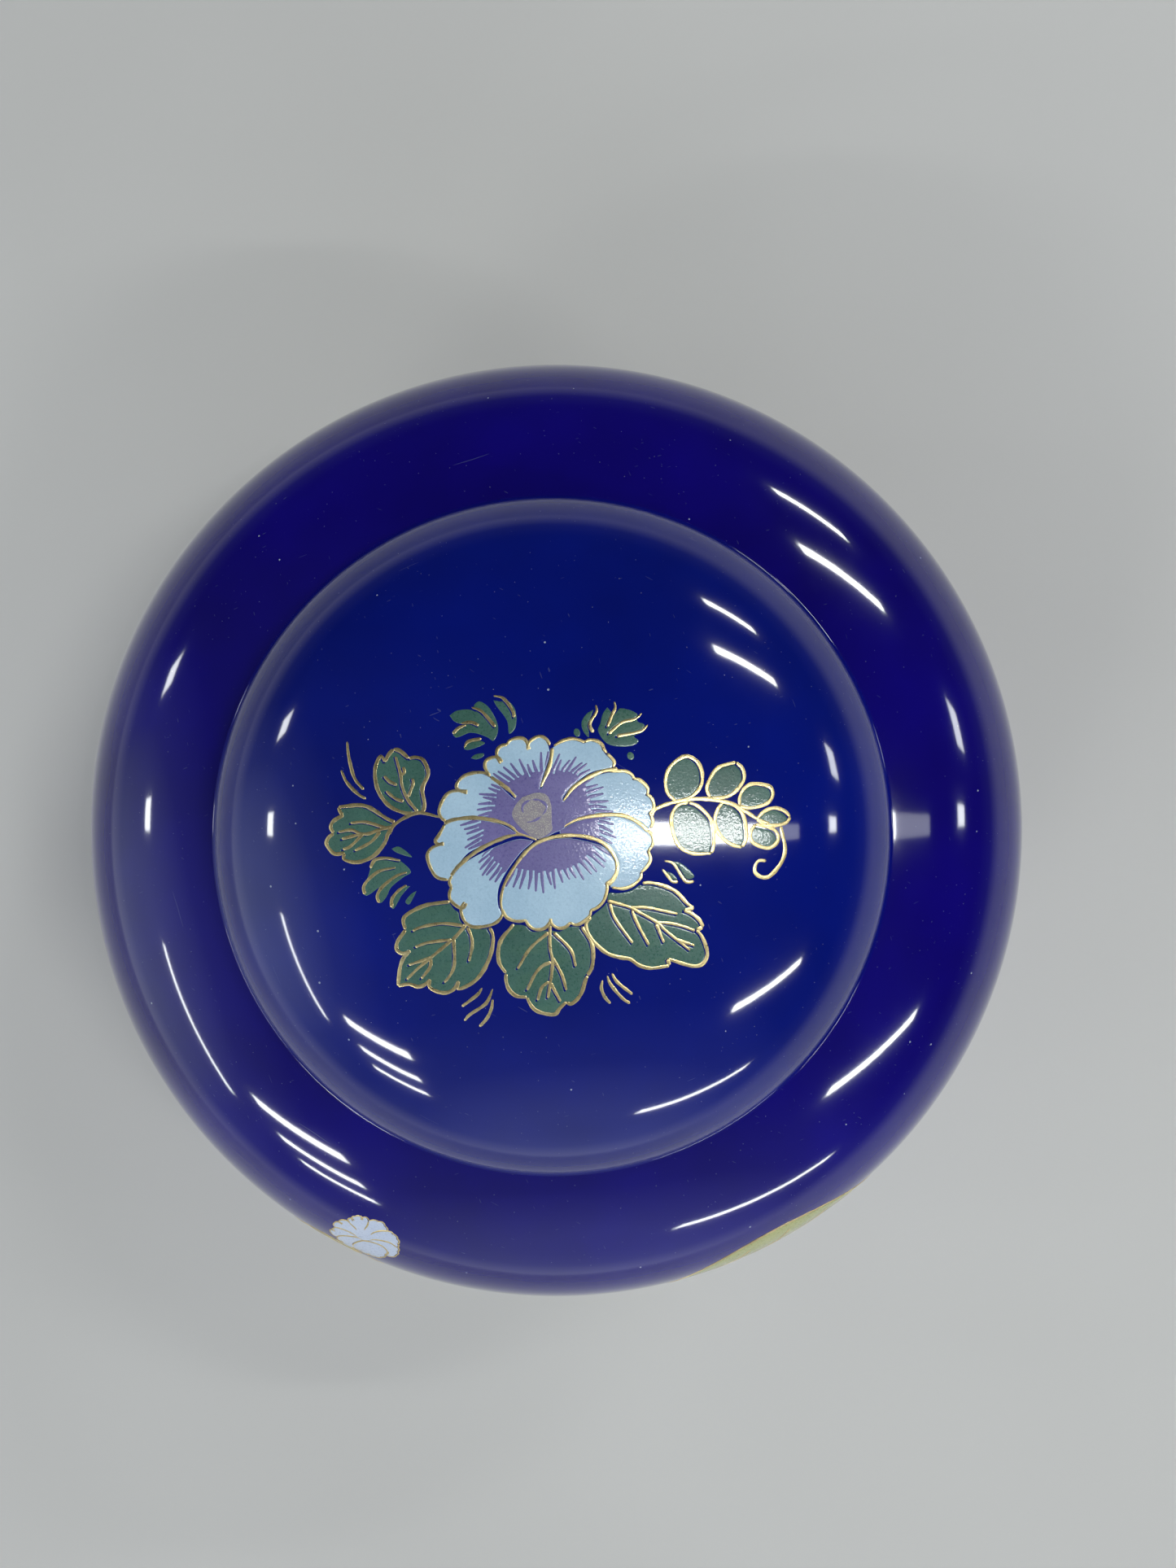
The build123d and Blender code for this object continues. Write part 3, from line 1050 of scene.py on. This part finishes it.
STEMS = [
    [(8.8, 2.1), (9.1, 2.7), (12.3, 3.6), (15.7, 3.2), (18.2, 1.8), (19.2, 1.4)],
    [
        (20.2, 1.2), (20.6, -0.9), (20.3, -1.9), (19.1, -3.2), (18.4, -3.2), (17.9, -2.8), (17.9, -2.2),
        (18.2, -1.8), (18.9, -1.8),
    ],
    [(-9.2, 2), (-11, 2.4), (-12, 2.2), (-13.4, 1.3), (-13.8, 0.5)],
]


def moved(points, scale=1.0, turn=0.0, to=(0.0, 0.0), about=(0.0, 0.0), flip=False):
    """Points scaled and turned about one place and carried to another."""
    p = np.array(points, float) - about
    if flip:
        p = p * (-1, 1)
    c, s = math.cos(turn), math.sin(turn)
    return scale * np.stack([c * p[:, 0] - s * p[:, 1], s * p[:, 0] + c * p[:, 1]], 1) + np.array(about) + to


def oval(centre, across, along, turn):
    """Eight points round an oval."""
    angles = [k * math.pi / 4 for k in range(8)]
    points = [(across / 2 * math.cos(angle), along / 2 * math.sin(angle)) for angle in angles]
    return [tuple(point) for point in moved(points, turn=turn, to=centre).tolist()]


# Loose brush leaves: an outline in one smooth stretch, and the gilded strokes laid on it
BRUSHED = {
    "left_sweep": (
        [
            (-15.5, -2.4), (-15.4, -1.9), (-14.8, -1.5), (-13.1, -1.6), (-11.9, -2.7), (-12.5, -3.1),
            (-13.7, -4.1), (-14.1, -4.9), (-14.6, -5.4), (-15, -5.3), (-14.9, -4.6), (-14.7, -4.1),
            (-15.9, -4.8), (-16.2, -4.5), (-16.1, -3.9), (-15.7, -3.1),
        ],
        [
            [(-12.8, -1.7), (-14.2, -1.5), (-15.1, -1.7), (-15.5, -2.4)],
            [(-13.2, -2.3), (-14.8, -2.7), (-16.1, -4), (-16, -4.7)],
            [(-12.2, -2.7), (-13.1, -3), (-14.6, -4.2), (-14.9, -4.9), (-14.7, -5.4)],
        ],
    ),
    "left_slip": (
        [(-12, -3.9), (-12.5, -3.9), (-13.7, -5.1), (-13.7, -5.7), (-13.5, -5.9), (-12.7, -4.7)],
        [[(-12.3, -3.8), (-13.1, -4.4), (-13.6, -5.1), (-13.6, -5.8)]],
    ),
    "left_dash": ([(-11.4, -4.3), (-11.9, -4.6), (-12.4, -5.3), (-12.1, -5.5), (-11.7, -4.9)], []),
    "stem_dash": ([(-13.6, -0.7), (-13, -0.5), (-11.8, -1.4), (-13.2, -1)], []),
    "top_left": (
        [
            (-8.6, 10.8), (-8, 11.2), (-6.8, 11.3), (-6.3, 11.1), (-6.5, 11.6), (-6.1, 12), (-5.3, 11.6),
            (-4.4, 9.9), (-4.5, 9), (-4.8, 8.6), (-5.3, 8.9), (-6.7, 9.3), (-8, 8.9), (-8.3, 9.2),
            (-8, 9.7), (-7.6, 10), (-8.2, 10.3),
        ],
        [
            [(-6.7, 11.5), (-5.9, 11.2), (-4.6, 9.8)],
            [(-7.6, 10.1), (-6.7, 10.2), (-6, 9.9)],
            [(-7.1, 10), (-7.8, 9.7), (-8.3, 9.2)],
        ],
    ),
    "top_left_slip": (
        [(-7.3, 7.9), (-7.2, 8.4), (-6.5, 8.7), (-5.5, 8.4), (-7, 7.8)],
        [[(-7.3, 8), (-7, 8.5), (-5.8, 8.8)]],
    ),
    "top_left_dash": ([(-6.7, 7.1), (-6.4, 7.4), (-5.6, 7.5), (-5.6, 7.3), (-6.2, 7)], []),
    "top_crescent": (
        [
            (-4.8, 12.1), (-4.2, 12), (-3.5, 12), (-2.9, 11.2), (-2.9, 9.7), (-3.4, 9.2), (-3.6, 10.3),
            (-4.6, 11.7),
        ],
        [[(-4.8, 12.5), (-4, 12.3), (-3.1, 11.1), (-3, 10.6)]],
    ),
    "top_right_crescent": (
        [(3.8, 11.3), (3.2, 10.9), (2.8, 10.2), (2.9, 9.5), (3.4, 8.9), (3.4, 9.9)],
        [[(4, 11.7), (4.1, 11.2), (3.5, 10), (3.8, 9.3)]],
    ),
    "top_right": (
        [
            (5, 11.5), (4.6, 10.9), (4.4, 10.1), (4.2, 9.5), (5.1, 8.3), (7.2, 8.2), (7.7, 8.6), (7.3, 9),
            (8.1, 9.4), (8.2, 10), (7.6, 10.3), (7.6, 10.9), (6.1, 11.4), (5.6, 10.9),
        ],
        [
            [(5.6, 12), (5.7, 11.5), (5.4, 10.8), (5, 9.8)],
            [(8, 11), (7.4, 10.5), (6.3, 10.2), (5.1, 9.2)],
            [(8.5, 10), (8, 9.5), (5.8, 9)],
        ],
    ),
    "top_right_dot": (oval((2.4, 9.3), 0.55, 0.75, 0.3), []),
    "right_dot": (oval((7, 7.3), 0.58, 0.72, 0.5), []),
    "right_comma": (
        [(10.3, -1.7), (11.3, -1.9), (12.5, -3.1), (11.9, -3.3), (11.1, -2.2)],
        [[(9.9, -1.7), (10.6, -1.9), (11.8, -3.5), (12.5, -3.5)]],
    ),
    "right_comma_low": (
        [(10, -2.6), (10.6, -2.8), (11, -3.3), (10.6, -3.3)],
        [[(9.7, -2.4), (10.2, -3), (10.6, -3.5), (11.1, -3.5)]],
    ),
}

# Gilded accents that lie straight on the glaze
ACCENTS = [
    [(-17.7, 8.6), (-17.5, 7.2), (-16.9, 5.3), (-16.1, 4.4)],
    [(-18.2, 6.1), (-17.7, 5.1), (-16.6, 4), (-15.9, 3.6)],
    [(-5.8, -12.7), (-6.1, -13.2), (-6.8, -13.8), (-7.6, -14.4)],
    [(-4.9, -12.8), (-5.1, -13.4), (-5.5, -14.1), (-7, -15.2), (-7.4, -15.7)],
    [(-4.9, -13.7), (-5, -14.5), (-5.4, -15.4), (-6.1, -16.2)],
    [(4.6, -12), (4.5, -12.7), (4.8, -13.5), (5.3, -14.1)],
    [(5, -11.6), (5.2, -12.2), (6.4, -13.7), (7, -14.1)],
    [(5.4, -11.4), (5.8, -12.1), (7.2, -13.3)],
]


def grown(outline, reach):
    """A closed outline moved outward by a little."""
    return outline - loop_side(outline) * reach * turning(outline)


def toothed(line, count, rng):
    """A brushed edge: blunt strokes that run outward from a line, with notches between them."""
    s = path_length(line)
    step = s[-1] / count
    out = []
    for k in range(count):
        ends = [(k + 0.5 + rng.uniform(-TOOTH_SHIFT, TOOTH_SHIFT)) * step, (k + 1) * step]
        base, notch = np.stack([np.interp(ends, s, column) for column in line.T], 1)
        way = base - BRUSHED_FROM
        way /= np.linalg.norm(way)
        side = np.array([way[1], -way[0]])
        tip = base + rng.uniform(*TOOTH_REACH) * way + rng.uniform(-TOOTH_SLANT, TOOTH_SLANT) * side
        notch = notch - rng.uniform(*NOTCH_DEPTH) * way
        top = tip + TIP_ROUND * way
        out += [base - TOOTH_FOOT * side, tip - TOOTH_TIP * side, top - TIP_FLAT * side]
        out += [top + TIP_FLAT * side, tip + TOOTH_TIP * side, base + TOOTH_FOOT * side]
        out += [notch - NOTCH_HALF * side, notch + NOTCH_HALF * side]
    sides = []
    for a, b in zip(out, out[1:]):
        count = math.ceil(np.linalg.norm(b - a) / (1.5 * STEP))
        sides.append(straight(a, b, count + 1)[:-1])
    return np.vstack([*sides, out[-1:]])


# What each kind of piece in a spray is made of, and its slot. Leaves take the colour that the spray says.
KINDS = {
    "petals": (PETAL, "petal_enamel"),
    "bud_petals": (PALE_PETAL, "petal_enamel"),
    "petal_hearts": (PURPLE, "heart_enamel"),
    "flower_centre": (TAUPE, "gilding"),
    "leaves": (None, "leaf_enamel"),
    "gilding": (GOLDEN, "gilding"),
}


def spray(body, place, leaf_colour, flowers, leaves, sprigs, brushed, accents):
    """Draws one spray. Each list says which parts it has and how each is moved. A plain flower is a bud."""
    rng = random.Random(SEED)
    drawings = {kind: Drawing(f"{body}_{kind}", place) for kind in KINDS}
    blue, pale, purple, centre, green, gold = drawings.values()

    def gild(points, width=LINE, taper=(0.8, 0.8)):
        """A gilded line whose width wanders in its own way."""
        gold.stroke(points, width, GOLD, taper, WANDER, rng.randrange(100))

    def gaps(lines, width=GAP):
        """The dark gaps left in the enamel beside some lines."""
        return [band(line - SLIP, width) for line in lines]

    for how, plain in flowers:
        loops, edges = {}, []
        for name, stretches in PETALS.items():
            runs = runs_of(stretches)
            loops[name] = moved(loop_of(runs), **how)
            edges += [(moved(run, **how), name) for run in runs[1:-1]]
        loops["eye"] = moved(closed(EYE), **how)
        (pale if plain else blue).area([grown(outline, PETAL_OVERLAP) for outline in loops.values()], ENAMEL)
        if not plain:
            brushed_edge = []
            for line, count in FRINGES.values():
                line = moved(smooth(line), PURPLE_REACH, about=BRUSHED_FROM)
                brushed_edge.append(toothed(line, count, rng))
            hearts = moved(np.vstack(brushed_edge), **how)
            whole = [grown(outline, HEART_OVERLAP) for outline in loops.values()]
            purple.area(whole, HEART, masks=[hearts], edge=FINE_EDGE)
        share = BUD_SHARE if plain else 1.0
        for run, name in edges:
            gild(run - inward(run) * BORDER_INSET * turning(loops[name]) + 0.6 * SLIP, BORDER * share)
        for line in DIVIDERS:
            gild(moved(smooth(line), **how), DIVIDER * share, taper=(0.9, 0.5))
        if not plain:
            centre.area([moved(closed(CENTRE_EDGE), **how)], CENTRE)
            swirl = moved(smooth(CENTRE_SWIRL), **how)
            purple.stroke(swirl, SWIRL * how.get("scale", 1.0), SWIRL_TOP, (0.5, 0.4), SWIRL_WANDER)
    for name, how in leaves:
        edge, against, veins = LEAVES[name]
        runs = [moved(run, **how) for run in runs_of(edge)]
        lines = [moved(smooth(vein), **how) for vein in veins]
        whole = runs + ([moved(smooth([edge[-1][-1], *against]), **how)] if against else [])
        cuts = gaps([run for run in runs if len(run) > 3]) + gaps(lines, VEIN_GAP)
        green.area([loop_of(whole) - SLIP * 0.5], ENAMEL, cuts=cuts)
        for run in runs:
            gild(run)
        for line in lines:
            gild(line, VEIN, taper=(1.1, 0.8))
    for how in sprigs:
        for leaflet in LEAFLETS:
            runs = [moved(run, **how) for run in runs_of(leaflet)]
            green.area([loop_of(runs) - SLIP * 0.5], ENAMEL, cuts=gaps(runs))
            for run in runs:
                gild(run)
        for stem in STEMS[:2]:
            gild(moved(smooth(stem), **how), STEM, taper=(0.8, 0.7))
    for name, how in brushed:
        outline, strokes = BRUSHED[name]
        lines = [moved(smooth(stroke), **how) for stroke in strokes]
        green.area([moved(closed(outline), **how)], ENAMEL, cuts=gaps(lines, BRUSHED_GAP))
        for line in lines:
            gild(line, VEIN, taper=(0.5, 1.1))
    for line, how in accents:
        gild(moved(smooth(line), **how), ACCENT, taper=(0.5, 0.7))
    for kind, (look, slot) in KINDS.items():
        if drawings[kind].count:
            drawings[kind].piece(look or leaf_colour, body, slot)


spray(
    "lid", on_lid, GREEN,
    flowers=[({}, False)],
    leaves=[(name, {}) for name in LEAVES if name != "long"],
    sprigs=[{}],
    brushed=[(name, {}) for name in BRUSHED],
    accents=[(line, {}) for line in ACCENTS + STEMS[2:]],
)


# On the bowl: gilded stems to the bud and to the long leaf
BOWL_STEMS = [
    [(-5.8, 0.6), (-9.5, 3), (-14, 3.4), (-18, 4), (-20.8, 6.4)],
    [(-18, 4), (-20, 3.6), (-22, 3.6)],
    [(-14, 3.4), (-16.5, 2), (-19.4, 1.8), (-21, 2.6)],
    [(7.2, 0), (9.6, 1.6), (12, 2.4), (14, 2.7)],
]

# Where the bowl's flower and its bud lie
FRONT = dict(scale=0.85, to=(1.0, -4.6))
BUD = dict(scale=0.42, turn=0.25, to=(-21.6, 10.7))
spray(
    "bowl", on_bowl, SPRING,
    flowers=[(FRONT, False), (BUD, True)],
    leaves=[
        *[(name, FRONT) for name in LEAVES if name != "long"],
        ("long", dict(scale=1.08, turn=-0.03, to=(24.4, 4.2))),
        ("long", dict(scale=0.42, turn=0.45, to=(-26.2, 4.6), flip=True)),
        ("long", dict(scale=0.34, turn=-2.2, to=(-23.0, 1.0))),
    ],
    sprigs=[dict(scale=0.85, turn=-0.35, to=(-2.5, -4.2))],
    brushed=[(name, FRONT) for name in ("left_sweep", "left_slip", "right_comma", "right_comma_low")],
    accents=[(line, FRONT) for line in ACCENTS[2:] + STEMS[2:]] + [(line, {}) for line in BOWL_STEMS],
)


# ---- floor, lights and camera

# Soft boxes that face down from one height: centre, length and width in metres, radiance and turn
ROOF = 1.6
STRIP_COLOUR = (0.97, 1.0, 0.99)
STRIPS = {
    "right_long": ((0.69, -0.05), (1.0, 0.1), 38, 0),
    "right_end": ((1.44, -0.05), (0.5, 0.1), 4, 0),
    "back_near": ((1.5, 1.25), (0.8, 0.09), 46, 0),
    "back_far": ((1.85, 2.25), (0.8, 0.14), 44, 0),
    "front_right": ((1.8, -1.34), (1.1, 0.08), 46, 0),
    "front_far": ((2.1, -3.86), (2.4, 0.2), 26, -0.29),
    **{f"front_left_{k}": ((-1.65 - 0.16 * k, -1.9 - 0.62 * k), (0.85, 0.14), 30, 0) for k in range(3)},
    "far_left": ((-2.95, -1.7), (0.12, 1.5), 22, 0),
    "left_spot": ((-3.1, 0.0), (0.35, 0.25), 20, 0),
    "back_left": ((-3.4, 1.2), (0.5, 0.3), 14, 0),
    "right_spot": ((2.8, 0.0), (0.4, 0.16), 16, 0),
    "right_far": ((3.3, 0.75), (0.5, 0.4), 12, 0),
}
for name, (centre, (length, width), radiance, turn) in STRIPS.items():
    light = bpy.data.lights.new("strip_" + name, "AREA")
    light.shape = "RECTANGLE"
    light.size = length
    light.size_y = width
    light.energy = radiance * math.pi * length * width
    light.color = STRIP_COLOUR
    lamp = bpy.data.objects.new("strip_" + name, light)
    lamp.location = (*centre, ROOF)
    lamp.rotation_euler = (0, 0, turn)
    bpy.context.scene.collection.objects.link(lamp)

corners = [(x * HALF_FLOOR, y * HALF_FLOOR, 0) for x, y in ((-1, -1), (1, -1), (1, 1), (-1, 1))]
floor = new_object("floor", corners, [(0, 1, 2, 3)])
floor.data.materials.append(floor_look("pale_floor"))

world = bpy.data.worlds.new("soft_studio")
bpy.context.scene.world = world
sky = Nodes(world, "Background", "Generated")


def glow(direction, *stops):
    """Soft light that comes from round one direction."""
    aim = Vector(direction).normalized()
    facing = sky.add("VectorMath", {0: sky.place, 1: aim}, operation="DOT_PRODUCT").outputs["Value"]
    return sky.ramp(facing, *stops)


def added(first, second):
    return sky.mix(1.0, first, second, "ADD")


BLACK = (0.0, 0.0, 0.0)
PALE = (0.50, 0.505, 0.51)
toward = sky.add("SeparateXYZ", {0: sky.place}).outputs["Z"]
horizon = sky.ramp(toward, (0.0, PALE), (0.06, (0.33, 0.34, 0.35)), (0.15, (0.06, 0.065, 0.07)), (0.3, BLACK))
overhead = glow((-0.5, -0.75, 0.35), (0.0, (0.03, 0.034, 0.042)), (1.0, (0.13, 0.15, 0.19)))
left = glow((-0.93, -0.25, 0.3), (0.80, BLACK), (0.90, (0.14, 0.16, 0.16)), (0.99, (0.62, 0.70, 0.68)))
front = glow((0.05, -0.94, 0.3), (0.74, BLACK), (0.88, (0.10, 0.11, 0.14)), (0.98, (0.42, 0.46, 0.60)))
sky.set(Color=added(added(horizon, overhead), added(left, front)))

# Straight down from a little under 100 mm above the dome, as the photograph was taken
camera_data = bpy.data.cameras.new("camera")
camera_data.sensor_fit = "VERTICAL"
camera_data.sensor_height = 36.0
camera_data.lens = 26.0
camera_data.clip_start = 0.01
camera = bpy.data.objects.new("camera", camera_data)
camera.location = (0.003345, 0.00489, 0.1492)
bpy.context.scene.collection.objects.link(camera)
bpy.context.scene.camera = camera
bpy.context.scene.view_settings.view_transform = "Standard"
